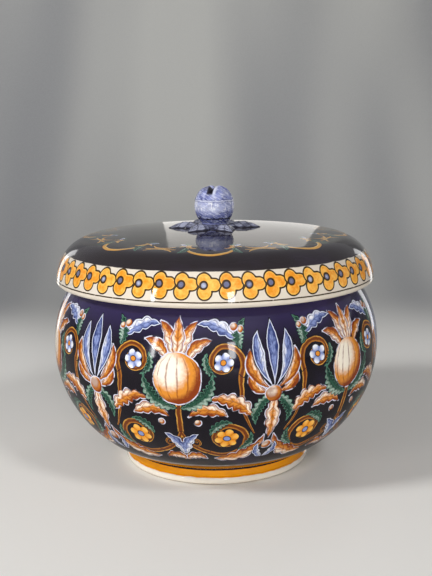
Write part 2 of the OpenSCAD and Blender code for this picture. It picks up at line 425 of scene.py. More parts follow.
def painted_curl(name):
    """A tapering line that winds in towards a centre."""
    g, given, end = start_shape(name, "Start", "Hand", "Rate", "Total", "Width", "End width")
    reach, angle = polar(g, given)
    reach = g.math("MAXIMUM", reach, 0.01)
    wound = g.math("LOGARITHM", given.radius / reach, math.e) / given.rate
    swing = given.hand * (angle - given.start) - wound
    off = g.math("WRAP", swing, math.pi, -math.pi)
    share = (wound + off) / given.total
    along = g.clamp(share)
    offset = reach * given.rate * off
    width = given.width + (given.end_width - given.width) * along
    ends = g.math("MINIMUM", share, 1.0 - share) * given.total * reach + 0.3
    edge = g.math("MINIMUM", width - abs(offset), ends)
    return end(edge, g.clamp(offset / width, -1.0, 1.0), along)


def painted_flower(name):
    """A flower with round petals: Across tells a petal's middle from its sides, Along how far out it is."""
    g, given, end = start_shape(name, "Petals", "Depth", "Start")
    reach, angle = polar(g, given)
    petal = abs(g.math("COSINE", (angle - given.start) * given.petals * 0.5))
    rim = given.radius * (1.0 - given.depth * (1.0 - petal ** 0.7))
    along = g.clamp(reach / given.radius)
    return end(rim - reach, petal * 2.0 - 1.0, along)


def painted_berry(name):
    """A round fruit: Across is its tone, from its shaded side to its lit side, and Along marks its ribs."""
    g, given, end = start_shape(name, "Side", "Height", "Ribs")
    x = (given.x - given.centre_x) / given.radius
    y = (given.y - given.centre_y) / given.height
    square = x * x + y * y
    edge = (1.0 - g.math("SQRT", square)) * given.radius
    tone = g.clamp((y - x * given.side) * 0.28 + 0.72 - square * 0.45)
    chord = g.math("SQRT", g.math("MAXIMUM", 1.0 - y * y, 0.02))
    meridian = g.math("ARCSINE", g.clamp(x / chord, -1.0, 1.0))
    rib = g.ease(g.math("COSINE", meridian * given.ribs), 0.75, 0.97) * g.ease(chord, 0.3, 0.8)
    return end(edge, tone, rib)


def leaf_brush(name):
    """Paints a leaf, shaded from side to side, with veins and a rim."""
    g, given, lay = start_brush(name, ("Light", "Middle", "Dark", "Rim"), "Along", "Strokes")
    across, along, edge = given.across, given.along, given.edge
    tone = across * 0.5 + 0.53 - along * 0.35 + given.grain + given.press * 0.16
    paint = g.mix(g.ease(tone, 0.0, 0.42), given.dark, given.middle)
    paint = g.mix(g.ease(tone, 0.45, 0.85), paint, given.light)
    side = abs(across)
    wave = g.math("SINE", (along * given.strokes - side * 0.9) * math.tau)
    paint = g.mix(g.ease(wave, 0.5, 0.95) * (1.0 - side ** 4.0) * 0.5, paint, given.dark)
    paint = g.mix((1.0 - g.ease(side, 0.03, 0.16)) * 0.5, paint, given.dark)
    inner = g.ease(edge, 0.45, 0.6) * g.ease(edge, 1.1, 0.85) * (given.press * 0.6 + 0.15)
    paint = g.mix(inner, paint, given.dark)
    paint = g.mix(g.ease(edge, 0.5, 0.3), paint, given.rim)
    return lay(paint, g.ease(edge, -0.55, -0.4) * given.press)


def scroll_brush(name):
    """Paints a scroll: a dark core between lit and shaded edges."""
    g, given, lay = start_brush(name, ("Core", "Lit", "Shade"))
    across = given.across
    rim = g.ease(abs(across) + given.grain, 0.35, 0.75)
    paint = g.mix(rim * (across * 0.4 + 0.6) * (given.press * 0.5 + 0.5), given.core, given.lit)
    paint = g.mix(rim * g.clamp(across * -0.7), paint, given.shade)
    return lay(paint, g.ease(given.edge, -0.4, -0.25))


def flower_brush(name):
    """Paints a flower: petals, the lines between them and a heart."""
    g, given, lay = start_brush(name, ("Light", "Middle", "Heart"), "Along")
    petal, out = given.across, given.along
    shine = g.ease(petal + given.grain * 2.0 + given.press * 0.4, -0.2, 1.1) * g.ease(out, 0.25, 0.9)
    paint = g.mix(shine, given.middle, given.light)
    paint = g.mix(g.ease(petal, -0.8, -0.98) * g.ease(out, 0.3, 0.4) * 0.7, paint, given.outline)
    paint = g.mix(g.ease(out, 0.36, 0.3), paint, given.outline)
    paint = g.mix(g.ease(out, 0.28, 0.22), paint, given.heart)
    return lay(paint, g.ease(given.edge, -0.42, -0.3))


def berry_brush(name):
    """Paints a round fruit with ribs."""
    g, given, lay = start_brush(name, ("Light", "Middle", "Dark"), "Along")
    tone = given.across + given.grain * 0.4
    paint = g.mix(g.ease(tone, 0.1, 0.42), given.dark, given.middle)
    paint = g.mix(g.ease(tone, 0.46, 0.76), paint, given.light)
    paint = g.mix(given.along * (given.press * 0.4 + 0.25), paint, given.dark)
    return lay(paint, g.ease(given.edge, -0.55, -0.4) * given.press)


def border_floret(name):
    """Three petals and a heart: how far a point lies inside the petals and inside the heart."""
    takes = sockets("value", "X", "Y", "Upper", "Lower")
    g, given, end = start_effect(name, takes, sockets("value", "Petals", "Heart"))
    x, y = given.x, given.y

    def lobe(radius, across, up):
        return radius - g.math("SQRT", across * across + up * up)

    upper = lobe(given.upper, x - 0.1, y - 1.8)
    lower = lobe(given.lower, x - 0.4, y + 3.0)
    tongue = lobe(2.55, x - g.clamp(x, 1.0, 4.7), y - 0.1)
    petals = g.math("SMOOTH_MAX", g.math("MAXIMUM", upper, lower), tongue, 0.8)
    return end(petals, lobe(1.35, x, y))


def glaze_skin(name):
    """The skin of a fired glaze: slow waves in its height and small changes in its gloss."""
    takes = sockets("vector", "Place")
    g, given, end = start_effect(name, takes, sockets("value", "Height", "Roughness"))
    waves = g.noise(given.place, 90.0, 2.0)
    pits = g.noise(given.place, 900.0, 1.0)
    return end(waves * 0.8 + pits * 0.2, g.ease(waves, 0.3, 0.8) * 0.05 + 0.05)


# Painted motifs

# Reach of a motif past its zone in mm, trim of the leaves' widths, and endings of their colours' names
ZONE_MARGIN = 3.0
LEAF_TRIM = 0.94
LEAF_TINTS = {"Light": "_light", "Middle": "", "Dark": "_deep", "Rim": "_rim"}


def at(centre):
    """The inputs that place a motif's centre."""
    return {"Centre X": centre[0], "Centre Y": centre[1]}


def bow(start, finish, bulge):
    """The arc between two points: centre, radius, start angle and sweep.

    bulge is the tangent of a quarter of the sweep.
    """
    sweep = 4 * math.atan(bulge)
    across, up = finish[0] - start[0], finish[1] - start[1]
    chord = math.hypot(across, up)
    radius = chord / (2 * math.sin(abs(sweep) / 2))
    off = math.copysign(radius * math.cos(sweep / 2), sweep)
    x = (start[0] + finish[0]) / 2 - up / chord * off
    y = (start[1] + finish[1]) / 2 + across / chord * off
    return {**at((x, y)), "Radius": radius, "Start": math.atan2(start[1] - y, start[0] - x), "Sweep": sweep}


def arc_span(sizes, width):
    """The lowest and the highest point of a motif along an arc."""
    angles = [sizes["Start"] + sizes["Sweep"] * i / 12 for i in range(13)]
    heights = [sizes["Centre Y"] + sizes["Radius"] * math.sin(angle) for angle in angles]
    return min(heights) - width, max(heights) + width


def brush_grain(g, place):
    """Fine unevenness in the tone of a brush stroke, about 0."""
    return (g.noise(place, 650.0, 2.0, 0.6) - 0.5) * 0.5


class Painter:
    """Paints motifs one over the other on a ground, in mm across and up the wall.

    Motifs that don't reach its zone of height are left out.
    """

    def __init__(self, graph, place, spot, ground, palette, zone):
        self.graph = graph
        self.spot = dict(zip(("X", "Y", "Side"), spot))
        press = graph.ease(graph.noise(place, 240.0, 2.0, 0.5), 0.38, 0.56)
        self.touch = {"Grain": brush_grain(graph, place), "Press": press}
        self.paint = ground
        self.palette = palette
        self.zone = zone

    def lay(self, shape, brush, span, sizes, tints):
        """Brushes a motif between two heights over the paint so far."""
        if span[1] + ZONE_MARGIN < self.zone[0] or span[0] - ZONE_MARGIN > self.zone[1]:
            return
        marks = self.graph.use(shared(shape), {**self.spot, **sizes})
        given = {**marks, **tints, **self.touch, "Under": self.paint}
        self.paint = self.graph.use(shared(brush), given)["Paint"]

    def leaf(self, start, finish, bulge, width, tint, lobes=4, depth=0.35, widest=0.45, strokes=5):
        """A leaf on an arc between two points; widest is where along its length it is broadest."""
        sizes = bow(start, finish, bulge)
        span = arc_span(sizes, width)
        swell = math.log(0.5) / math.log(widest)
        sizes.update({"Width": width * LEAF_TRIM, "Lobes": lobes, "Depth": depth, "Swell": swell})
        c = self.palette
        tints = {label: getattr(c, tint + ending) for label, ending in LEAF_TINTS.items()}
        tints["Outline"] = c.outline_pale if tint == "amber" else c.outline_dark
        tints["Strokes"] = strokes
        self.lay(painted_leaf, leaf_brush, span, sizes, tints)

    def fern(self, start, finish, bulge, width, lobes):
        """A green leaf with deep lobes."""
        self.leaf(start, finish, bulge, width, "green", lobes, depth=0.5, strokes=lobes)

    def petal(self, start, finish, bulge, width, tint):
        """A smooth petal, broadest near its tip."""
        self.leaf(start, finish, bulge, width, tint, lobes=1, depth=0, widest=0.62)

    def scroll(self, shape, span, sizes, gold):
        """Brushes a line or a curl, in gold or in brown with gold edges."""
        c = self.palette
        core, lit = (c.scroll_edge, c.gilt_light) if gold else (c.scroll_core, c.scroll_edge)
        tints = {"Core": core, "Lit": lit, "Shade": c.scroll_shade, "Outline": c.outline_dark}
        self.lay(shape, scroll_brush, span, sizes, tints)

    def line(self, start, finish, bulge, width, end_width, gold=False):
        """A tapering line on an arc between two points."""
        sizes = {**bow(start, finish, bulge), "Width": width, "End width": end_width}
        self.scroll(painted_stroke, arc_span(sizes, max(width, end_width)), sizes, gold)

    def curl(self, centre, outer, inner, start, turns, hand, width, end_width):
        """A scroll that winds in from one radius to another; hand is 1 or -1."""
        total = math.tau * turns
        sizes = {
            **at(centre), "Radius": outer, "Start": math.radians(start), "Hand": hand, "Total": total,
            "Rate": math.log(outer / inner) / total, "Width": width, "End width": end_width,
        }
        span = (centre[1] - outer - width, centre[1] + outer + width)
        self.scroll(painted_curl, span, sizes, False)

    def flower(self, centre, radius, petals, depth, start, light, middle, heart):
        """A flower seen from the front."""
        sizes = {
            **at(centre), "Radius": radius, "Petals": petals, "Depth": depth, "Start": math.radians(start)
        }
        tints = {"Light": light, "Middle": middle, "Heart": heart, "Outline": self.palette.outline_dark}
        span = (centre[1] - radius, centre[1] + radius)
        self.lay(painted_flower, flower_brush, span, sizes, tints)

    def berry(self, centre, radius, height, ribs=0):
        """A berry or a ribbed fruit; height is its half height."""
        sizes = {**at(centre), "Radius": radius, "Height": height, "Ribs": ribs}
        c = self.palette
        tints = {"Light": c.amber_light, "Middle": c.amber, "Dark": c.amber_deep, "Outline": c.outline_pale}
        span = (centre[1] - height, centre[1] + height)
        self.lay(painted_berry, berry_brush, span, sizes, tints)


# Materials

# Layout of the paint: counts round the jar, bearings of the first sectors' axes, radii and heights in mm
FRIEZE_SECTORS = 6
FRIEZE_TURN = math.radians(-102)
SPRIG_SECTORS = 8
SPRIG_TURN = math.radians(-92)
SPRIG_RING = 58.0
FLORETS = 50
FLORET_RING = 77.0
FLORET_LEVEL = 103.3
LINE_LEVEL = 95.9
DOME_LEVEL = 108.5
# Level of the fruit's ridge as a share of its height, and depth of the glaze's relief
RIDGE_LEVEL = 0.62
GLAZE_RELIEF = 0.2 * MM


def start_material(name):
    """An empty material; returns it, its graph and its object coordinates."""
    material = bpy.data.materials.new(name)
    material.use_nodes = True
    material.node_tree.nodes.clear()
    graph = Graph(material.node_tree)
    return material, graph, graph.wire("ShaderNodeTexCoord", (), "Object")


def end_material(material, g, place, colour, strength=0.12, ior=1.52):
    """Gives a material its colour, the shared skin of the glaze and its gloss, and returns it."""
    skin = g.use(shared(glaze_skin), {"Place": place})
    relief = {"Strength": strength, "Distance": GLAZE_RELIEF, "Height": skin["Height"]}
    normal = g.wire("ShaderNodeBump", relief)
    given = {"Base Color": colour, "Roughness": skin["Roughness"], "Normal": normal, "IOR": ior}
    surface = g.wire("ShaderNodeBsdfPrincipled", given)
    g.node("ShaderNodeOutputMaterial", {"Surface": surface})
    return material


def unsteady(g, place):
    """Two slow wanderings of the painter's hand, about 0."""
    drift = g.split(g.noise(place, 170.0, 3.0, 0.5, "Color"))
    return drift[0] - 0.5, drift[1] - 0.5


def wall_spot(g, place, plan, half_sector, first, far, wobble):
    """Where a point lies on a round wall: mm across a mirrored sector, the sector's side, and a sway in mm.

    plan is the point's x and y, first the bearing of a sector's axis, and far the width of half a sector.
    """
    aside, sway = unsteady(g, place)
    bearing = g.math("ARCTAN2", plan[1], plan[0])
    steps = (bearing - first) / half_sector + aside * (wobble / far)
    across = g.math("PINGPONG", steps, 1.0) * far
    side = g.math("LESS_THAN", g.math("FLOORED_MODULO", steps, 2.0), 1.0) * 2.0 - 1.0
    return across, side, sway * wobble


def bowl_material(settings, name, zone):
    """Dark cobalt ground with the motifs of the painted frieze that reach one zone of height."""
    c = settings.colours
    s = settings.bowl
    material, g, place = start_material(name)
    x, y, z = g.split(place)
    half_sector = math.pi / FRIEZE_SECTORS
    far = half_sector * s.belly_r / MM
    across, side, sway = wall_spot(g, place, (x, y), half_sector, FRIEZE_TURN, far, wobble=1.5)
    high = z / MM - s.belly_z / MM
    over = g.math("GREATER_THAN", high, 0.0)
    arc_r = over * ((s.upper_arc - s.lower_arc) / MM) + s.lower_arc / MM
    up = arc_r * g.math("ARCSINE", high / arc_r) + sway
    cloud = g.noise(place, 45.0, 3.0, 0.6)
    # Lighter in random patches where the ground ran thin, and towards the top in a painted sheen
    thin = g.ease(cloud, 0.5, 0.85) * 0.5 + g.ease(up, 12.0, 30.0) * 0.8
    ground = g.mix(g.clamp(thin), c.ground, c.ground_thin)
    p = Painter(g, place, (across, up, side), ground, c, zone)
    # Stems and scrolls
    p.line((0.2, -46), (0.2, -8), 0.002, 1.5, 1.0)
    p.line((0.3, -27), (13.3, -40.3), 0.24, 1.0, 1.5)
    p.line((35, -27), (28.2, 2.6), -0.16, 0.35, 1.25)
    p.curl((22, -30), 13.5, 2.6, -130, 1.8, 1, 1.6, 0.7)
    p.curl((20.5, 8), 9.5, 2.0, -35, 1.7, 1, 1.25, 0.6)
    # Leaves along the scrolls
    p.leaf((16, -46), (40.5, -29), 0.38, 4.6, "amber", 5)
    p.leaf((33.5, -17.5), (14, -9), 0.35, 4.0, "amber", 6, 0.4, 0.45, 6)
    p.leaf((22, -17), (4.5, -17.5), 0.40, 3.4, "amber")
    p.fern((14, -28), (25, -21), -0.45, 2.4, 7)
    p.fern((28, -38), (33, -26), 0.45, 2.2, 7)
    p.leaf((26, 17.5), (8.5, 24.5), 0.30, 3.6, "blue")
    p.fern((13.2, 12), (17.5, 1.5), 0.45, 2.0, 7)
    p.fern((28.5, 13.5), (31.0, 27), -0.35, 3.0, 8)
    # Tendril
    p.curl((6.6, -33.5), 3.4, 0.9, 150, 1.3, -1, 0.6, 0.3)
    # Flowers in the curls
    p.flower((22, -30), 5.8, 6, 0.32, 15, c.floret_light, c.floret, c.blue)
    p.flower((20.5, 8), 4.4, 5, 0.35, 0, c.blue_light, c.blue, c.amber)
    # Fruit on the sector's axis, with its stem and crown
    p.leaf((0.5, -46.5), (11.5, -46), -0.55, 3.4, "amber")
    p.leaf((0.6, -42), (8.5, -27), -0.30, 3.4, "blue")
    p.fern((1, -13), (15.5, 3), 0.42, 3.6, 10)
    p.leaf((5, 9), (15.5, 17.5), -0.35, 2.8, "amber", 3, 0.25)
    p.leaf((2, 10), (9.0, 26), -0.25, 3.2, "amber", 3, 0.25)
    p.leaf((0.1, 10), (0.1, 28), 0.002, 3.2, "amber", 3, 0.25)
    p.berry((0, 0.5), 10.6, 11.6, 13)
    # Palmette between the sectors
    p.petal((far - 0.5, -6), (32.0, 3), -0.45, 2.4, "amber")
    p.petal((far - 0.5, -5), (32.2, 13), -0.35, 2.6, "amber")
    p.petal((far - 0.4, -4), (36.2, 21.5), -0.22, 2.7, "blue")
    p.petal((far, -4), (far, 26), 0.002, 3.0, "blue")
    p.fern((far - 0.5, -8), (35.5, -22.5), 0.45, 2.8, 8)
    p.leaf((far, -8), (far, -31), 0.002, 3.8, "amber", 4, 0.3)
    p.leaf((far - 0.3, -46.5), (38.5, -34.5), -0.35, 2.4, "blue", 3)
    p.berry((far, -7), 3.7, 3.7)
    p.berry((far, -36), 2.3, 2.6)
    p.berry((25.5, 23.5), 1.6, 1.6)
    p.berry((28.5, 22.2), 1.3, 1.3)
    p.berry((8.5, -20.5), 1.4, 1.4)
    return end_material(material, g, place, p.paint, ior=1.43)


def dome_ground(g, c, place):
    """The lid's near-black ground."""
    cloud = g.noise(place, 45.0, 3.0, 0.6)
    return g.mix(g.ease(cloud, 0.45, 0.85), c.dome, c.dome_thin)


def dome_material(settings):
    """Dark dome of the lid with a ring of thin gold scrolls."""
    c = settings.colours
    material, g, place = start_material("painted dome")
    x, y, _z = g.split(place)
    half_sector = math.pi / SPRIG_SECTORS
    far = half_sector * SPRIG_RING
    across, side, sway = wall_spot(g, place, (x, y), half_sector, SPRIG_TURN, far, wobble=0.7)
    out = g.math("SQRT", x * x + y * y) / MM - SPRIG_RING + sway
    p = Painter(g, place, (across, out, side), dome_ground(g, c, place), c, zone=(-SPRIG_RING, 22.0))
    # Scrolls
    p.line((0.0, 8.0), (10.5, -6.0), -0.4986, 0.95, 0.8, True)
    p.line((10.5, -6.2), (6.8, -1.8), 0.45, 1.1, 0.3, True)
    p.line((10.6, -5.6), (14.8, -3.6), 0.4, 0.8, 0.3, True)
    # Sprays between the scrolls
    p.line((23.0, 1.0), (16.4, 4.6), -0.25, 0.9, 0.25, True)
    p.line((23.0, 0.4), (15.6, 1.2), 0.12, 0.9, 0.3, True)
    p.line((23.0, -0.4), (17.0, -3.4), 0.25, 0.8, 0.25, True)
    p.leaf((11.8, -2.6), (13.4, 6.4), -0.3, 1.7, "green")
    p.leaf((12.6, -5.4), (16.6, -8.4), 0.35, 1.3, "blue", 3)
    p.leaf((10.0, -7.4), (13.6, -10.4), -0.3, 1.1, "green", 3)
    return end_material(material, g, place, p.paint)


def band_material(settings):
    """White band and lip under the dome: a chain of florets, each one over the end of the one before."""
    c = settings.colours
    material, g, place = start_material("floret band")
    x, y, z = g.split(place)
    height = z / MM
    aside, sway = unsteady(g, place)
    grain = brush_grain(g, place)
    pitch = math.tau * FLORET_RING / FLORETS
    cells = g.math("ARCTAN2", y, x) * (FLORETS / math.tau) + aside * 0.08
    number = g.math("FLOOR", cells)
    along = (cells - number) * pitch
    level = height - FLORET_LEVEL + sway * 0.5
    specks = g.noise(place, 420.0, 3.0, 0.6)
    paint = g.mix(g.ease(specks, 0.55, 0.8) * 0.35, c.cream, c.ivory)
    floret = shared(border_floret)
    for step in (0, 1):
        vary = g.scatter(number + step)
        shape = g.use(floret, {
            "X": along - pitch * step, "Y": level + (vary - 0.5) * 0.5,
            "Upper": vary * 0.3 + 2.8, "Lower": 3.3 - vary * 0.3,
        })
        petals, heart = shape["Petals"], shape["Heart"]
        wash = vary * 0.45 + grain * 1.6 + (specks - 0.45) * 2.6
        body = g.mix(g.clamp(wash), c.floret, c.floret_light)
        body = g.mix(g.ease(petals, 0.75, 0.45) * 0.7, body, c.floret_light)
        paint = g.mix(g.ease(petals, -0.52, -0.38), paint, c.floret_line)
        paint = g.mix(g.ease(petals, 0.16, 0.3), paint, body)
        paint = g.mix(g.ease(heart, -0.65, -0.5), paint, c.floret_line)
        eye = g.mix(g.ease(vary + grain + heart * 0.4, 0.75, 1.4) * 0.6, c.floret_eye, c.fruit_light)
        paint = g.mix(g.ease(heart, 0.15, 0.35), paint, eye)
    thin = abs(height - LINE_LEVEL + sway * 0.3)
    paint = g.mix(g.ease(thin, 0.36, 0.24) * g.ease(specks, 0.28, 0.38), paint, c.floret_line)
    edge = height - DOME_LEVEL + sway * 0.5
    paint = g.mix(g.ease(edge, -0.08, 0.08), paint, dome_ground(g, c, place))
    return end_material(material, g, place, paint)


def cream_material(settings):
    """White tin glaze, warmer where it pools and with a few pin holes."""
    c = settings.colours
    material, g, place = start_material("cream tin glaze")
    pool = g.noise(place, 60.0, 3.0, 0.6)
    specks = g.noise(place, 700.0, 2.0, 0.5)
    paint = g.mix(g.ease(pool, 0.4, 0.8) * 0.5, c.cream, c.ivory)
    paint = g.mix(g.ease(specks, 0.72, 0.8) * 0.5, paint, c.biscuit)
    return end_material(material, g, place, paint)


def foot_material(settings):
    """Ochre above, cream on the bead, bare clay on the face that the jar stands on."""
    c = settings.colours
    material, g, place = start_material("ochre foot glaze")
    _x, _y, z = g.split(place)
    sway = (g.noise(place, 170.0, 3.0) - 0.5) * 0.8
    level = z / MM + sway
    pool = g.noise(place, 120.0, 3.0, 0.6)
    ochre = g.mix(g.ease(pool, 0.35, 0.75) * 0.2, c.ochre, c.ochre_deep)
    # Darker ochre along the foot's top edge, under the bowl
    ochre = g.mix(g.ease(level, 6.6, 7.1), ochre, c.ochre_deep)
    cream = g.mix(g.ease(pool, 0.4, 0.8) * 0.25, c.foot_white, c.ivory)
    paint = g.mix(g.ease(level, 3.45, 3.75), cream, ochre)
    paint = g.mix(g.ease(level, 0.5, 0.2), paint, c.biscuit)
    return end_material(material, g, place, paint)


def turned(x, y, bearing):
    """How far a point lies ahead along a bearing, and to the left of it."""
    ahead = x * math.cos(bearing) + y * math.sin(bearing)
    aside = y * math.cos(bearing) - x * math.sin(bearing)
    return ahead, aside


def fruit_material(settings):
    """Blue glaze brushed on in fine lines, with a wavy calyx line near the neck; painted highlights round
    the middle, along the ridge and beside the front cleft, and painted shade in that cleft.
    """
    c = settings.colours
    material, g, place = start_material("brushed fruit glaze")
    x, y, z = g.split(place)
    level = (z - FRUIT_LOW[2]) / (FRUIT_HIGH[2] - FRUIT_LOW[2])
    mottle = g.noise(place, 330.0, 3.0, 0.6)
    strokes = g.noise(g.stack(x, y, z * 4.0 + x * 2.0), 360.0, 3.0, 0.65)
    # Fine vertical marks for the painted glints on the fruit's middle
    painted_glints = g.noise(g.stack(x, y, z * 0.3), 1100.0, 2.0, 0.5)
    low = g.ease(level, 0.42, 0.12)
    paint = g.mix(g.clamp(g.ease(mottle, 0.45, 0.7) * 0.7 + low * 0.5), c.fruit, c.fruit_deep)
    paint = g.mix(g.ease(strokes, 0.5, 0.64) * 0.75, paint, c.fruit_light)
    paint = g.mix(g.ease(strokes, 0.44, 0.32) * 0.65, paint, c.fruit_deep)
    # Painted highlight: a pale band round the fruit's middle, with painted glints in it
    middle = g.ease(abs(level - 0.48), 0.2, 0.05)
    paint = g.mix(middle * 0.28, paint, c.fruit_light)
    paint = g.mix(g.ease(painted_glints, 0.55, 0.62) * middle * 0.9, paint, c.blue_light)
    patches = g.noise(place, 150.0, 2.0, 0.5)
    paint = g.mix(g.ease(patches, 0.5, 0.64) * (1.0 - low) * 0.3, paint, c.fruit_light)
    # Painted highlight along the ridge, darker either side of it
    ridge = abs(level - RIDGE_LEVEL - (mottle - 0.5) * 0.09)
    paint = g.mix(g.ease(ridge, 0.05, 0.02) * 0.6, paint, c.fruit_deep)
    paint = g.mix(g.ease(ridge, 0.024, 0.008) * g.ease(strokes, 0.36, 0.52) * 0.85, paint, c.fruit_light)
    ahead, aside = (way / MM for way in turned(x, y, settings.finial.cleft_turn))
    front = g.ease(ahead, -0.5, 0.5)
    # Painted highlight on the lobe to the right of the front cleft
    lobe = g.ease(aside, 1.2, 1.8) * g.ease(aside, 3.4, 2.4) * g.ease(level, 0.74, 0.84)
    paint = g.mix(lobe * front * 0.85, paint, c.fruit_light)
    # Painted shade on the top of the lobe to its left
    shade = g.ease(aside, 0.0, -1.0) * g.ease(aside, -5.0, -3.0) * g.ease(level, 0.84, 0.94)
    paint = g.mix(shade * front * 0.7, paint, c.slate)
    # Painted shade down in the front cleft
    cleft = g.ease(abs(aside), 1.9, 1.2) * g.ease(level, 0.76, 0.82)
    paint = g.mix(cleft * front, paint, c.slate_deep)
    wavy = abs(level - 0.13 - (mottle - 0.5) * 0.16)
    paint = g.mix(g.ease(wavy, 0.028, 0.012), paint, c.slate_deep)
    return end_material(material, g, place, paint, strength=0.4)


def leaf_material(settings):
    """Slate glaze on the leaf's own map: dark along the veins, painted shade along the edges, and pale
    streaks of painted reflection on the face between them.
    """
    c = settings.colours
    material, g, place = start_material("slate leaf glaze")
    along, across, _none = g.split(g.wire("ShaderNodeUVMap", uv_map="Leaf"))
    side = abs(across * 2.0 - 1.0)
    x, y, _z = g.split(place)
    mottle = g.noise(place, 380.0, 3.0, 0.6)
    streaks = g.noise(g.stack(along * 3.0, across * 9.0, x * 60.0 + y * 60.0), 1.0, 3.0, 0.6)
    paint = g.mix(g.ease(mottle, 0.4, 0.65) * 0.7, c.slate, c.slate_deep)
    # Pale streaks of painted reflection on the leaf's face
    face = g.ease(side, 0.96, 0.8) * g.ease(along, 0.99, 0.9)
    paint = g.mix(g.ease(streaks, 0.4, 0.58) * face * 0.8, paint, c.slate_light)
    wave = g.math("SINE", (along * 4.0 - side * 0.9 + mottle * 0.5) * math.tau)
    paint = g.mix(g.ease(wave, 0.7, 0.95) * 0.6, paint, c.slate_deep)
    # Painted shade along the leaf's edges
    paint = g.mix(g.ease(side, 0.88, 0.97) * 0.9, paint, c.slate_deep)
    return end_material(material, g, place, paint, strength=0.4)


def neck_material(settings):
    """The fruit's neck: the fruit's blue under it, and dark slate down between the leaves."""
    c = settings.colours
    material, g, place = start_material("neck glaze")
    sponge = g.noise(place, 520.0, 4.0, 0.65)
    _x, _y, z = g.split(place)
    below = (FRUIT_LOW[2] - z) / MM
    slate = g.mix(g.ease(sponge, 0.4, 0.62), c.slate, c.slate_deep)
    paint = g.mix(g.ease(below + sponge * 0.6, 0.3, 1.0), c.fruit, slate)
    return end_material(material, g, place, paint, strength=0.3)


# Modelling

def arc(centre, radius, start, finish, steps):
    """Points on an arc of a profile, angles in degrees from the outward direction."""
    angles = [math.radians(start + (finish - start) * i / steps) for i in range(steps + 1)]
    return [(centre[0] + radius * math.cos(a), centre[1] + radius * math.sin(a)) for a in angles]


def soften(first, second, size, steps=4):
    """Joins two runs of profile points that meet in a corner, rounding it over the given size."""
    corner = second[0]
    before = [p for p in first if math.dist(p, corner) > size]
    after = [p for p in second if math.dist(p, corner) > size]
    ends = []
    for near in (before[-1], after[0]):
        share = size / math.dist(near, corner)
        ends.append([corner[i] + (near[i] - corner[i]) * share for i in (0, 1)])
    points = (ends[0], corner, ends[1])
    bend = []
    for i in range(steps + 1):
        t = i / steps
        weights = ((1 - t) ** 2, 2 * t * (1 - t), t * t)
        bend.append(tuple(sum(w * p[k] for w, p in zip(weights, points)) for k in (0, 1)))
    return before + bend + after


def lathe(name, outline, steps):
    """Extrudes a vertex along an outline of radius and height, and spins the line round the axis."""
    bpy.ops.object.select_all(action="DESELECT")
    bpy.ops.mesh.primitive_plane_add(size=MM, location=(0, 0, 0))
    piece = bpy.context.object
    piece.name = name
    piece.data.name = name
    bpy.ops.object.mode_set(mode="EDIT")
    bpy.ops.mesh.merge(type="CENTER")
    here = (0.0, 0.0)
    for i, spot in enumerate(outline):
        move = (spot[0] - here[0], 0.0, spot[1] - here[1])
        if i == 0:
            bpy.ops.transform.translate(value=move)
        else:
            bpy.ops.mesh.extrude_region_move(TRANSFORM_OT_translate={"value": move})
        here = spot
    bpy.ops.mesh.select_all(action="SELECT")
    bpy.ops.mesh.spin(steps=steps, angle=math.tau, center=(0, 0, 0), axis=(0, 0, 1))
    bpy.ops.mesh.select_all(action="SELECT")
    bpy.ops.mesh.remove_doubles(threshold=0.004 * MM)
    bpy.ops.mesh.normals_make_consistent(inside=False)
    bpy.ops.object.mode_set(mode="OBJECT")
    return piece


def select_only(piece):
    """Selects one object and makes it the active one."""
    bpy.ops.object.select_all(action="DESELECT")
    piece.select_set(True)
    bpy.context.view_layer.objects.active = piece


def select_verts(piece, test):
    """Selects the vertices whose places pass a test, in edit mode."""
    mesh = bmesh.from_edit_mesh(piece.data)
    for vert in mesh.verts:
        vert.select = test(vert.co)
    mesh.select_flush_mode()
    bmesh.update_edit_mesh(piece.data)


def finish(piece, body, slot, nodes, smooth=40):
    """Smooths a piece, ties it to its body and hides the nodes that it stands for; slot is not used."""
    select_only(piece)
    bpy.ops.object.shade_smooth_by_angle(angle=math.radians(smooth))
    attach(piece, body)
    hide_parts(*nodes)


def bowl_outline(s):
    """The bowl's section, from the middle of its underside round the rim to the middle of its floor."""
    low = BOWL_LOW[2]
    rim = BOWL_HIGH[2]
    floor_angle = -59.2
    floor_round = 4 * MM
    wall_z = low + s.base_edge
    lower = (s.belly_r - s.lower_arc, s.belly_z)
    upper = (s.belly_r - s.upper_arc, s.belly_z)
    foot_angle = math.degrees(math.asin((wall_z - s.belly_z) / s.lower_arc))
    wall_r = lower[0] + s.lower_arc * math.cos(math.radians(foot_angle))
    base_r = wall_r - s.base_step
    rim_angle = math.degrees(math.asin((rim - s.belly_z) / s.upper_arc))
    mouth_angle = math.degrees(math.asin((rim - s.belly_z) / (s.upper_arc - s.wall)))
    underside = [(base_r * i / 4, low) for i in range(5)]
    outer = arc(lower, s.lower_arc, foot_angle, 0, 36) + arc(upper, s.upper_arc, 0, rim_angle, 22)[1:]
    inner = arc(upper, s.upper_arc - s.wall, mouth_angle, 0, 20)
    inner += arc(lower, s.lower_arc - s.wall, 0, floor_angle, 30)[1:]
    floor_z = low + s.floor
    radii = [inner[-1][0] * i / 10 for i in range(9, -1, -1)]
    floor = [inner[-1]] + [(r, floor_z + r * r / (2 * s.floor_dish)) for r in radii]
    rim_top = [outer[-1], inner[0]]
    outline = underside + [(base_r, wall_z)] + outer
    outline = soften(outline, rim_top, s.rim_round)
    outline = soften(outline, inner, s.rim_round)
    return soften(outline, floor, floor_round, 6)


